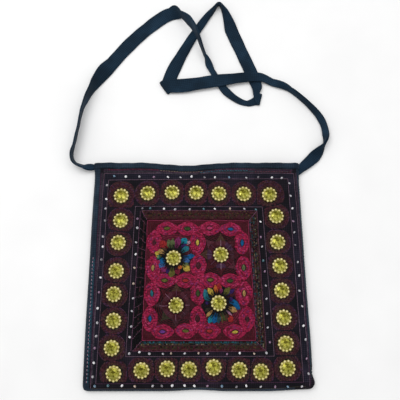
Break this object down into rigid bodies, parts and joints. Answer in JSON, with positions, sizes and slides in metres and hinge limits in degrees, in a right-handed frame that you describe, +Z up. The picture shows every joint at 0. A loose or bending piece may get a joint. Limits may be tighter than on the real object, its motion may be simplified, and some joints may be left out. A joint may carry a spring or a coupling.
{
  "type": "embroidered crossbody bag",
  "caption": "Soft square cloth bag, embroidered and set with yellow flower-shaped gems, open at the mouth, lying flat with its long flat strap laid out beyond it.",
  "frame": {"origin": "on the surface that the bag lies on, under the middle of the bag without its strap", "axes": "+X to the right across the front, +Y from the bottom towards the mouth, +Z up out of the embroidered front"},
  "size_m": [0.3535, 0.5362, 0.0245],
  "materials": {
    "navy_cloth": "plain navy cotton with a soft sheen",
    "ground_cloth": "near-black cotton, covered with plum and maroon thread",
    "magenta_embroidery": "dense magenta satin stitch",
    "strip_cloth": "brown cloth with olive and gold lines of stitching",
    "gem": "faceted yellow stone in a cream gold flower",
    "strap_cloth": "folded navy cotton tape"
  },
  "bodies": {
    "root": {"back_panel": "navy_cloth", "front_panel": "ground_cloth", "mouth_binding": "navy_cloth", "centre_panel": "magenta_embroidery", "frame_strip_top": "strip_cloth", "frame_strip_right": "strip_cloth", "frame_strip_bottom": "strip_cloth", "frame_strip_left": "strip_cloth", "gem_top_1": "gem", "gem_top_2": "gem", "gem_top_3": "gem", "gem_top_4": "gem", "gem_top_5": "gem", "gem_top_6": "gem", "gem_top_7": "gem", "gem_right_1": "gem", "gem_right_2": "gem", "gem_right_3": "gem", "gem_right_4": "gem", "gem_right_5": "gem", "gem_right_6": "gem", "gem_bottom_1": "gem", "gem_bottom_2": "gem", "gem_bottom_3": "gem", "gem_bottom_4": "gem", "gem_bottom_5": "gem", "gem_bottom_6": "gem", "gem_bottom_7": "gem", "gem_bottom_8": "gem", "gem_left_1": "gem", "gem_left_2": "gem", "gem_left_3": "gem", "gem_left_4": "gem", "gem_left_5": "gem", "gem_left_6": "gem", "gem_centre_1": "gem", "gem_centre_2": "gem", "gem_centre_3": "gem", "gem_centre_4": "gem", "strap": "strap_cloth"}
  },
  "joints": []
}
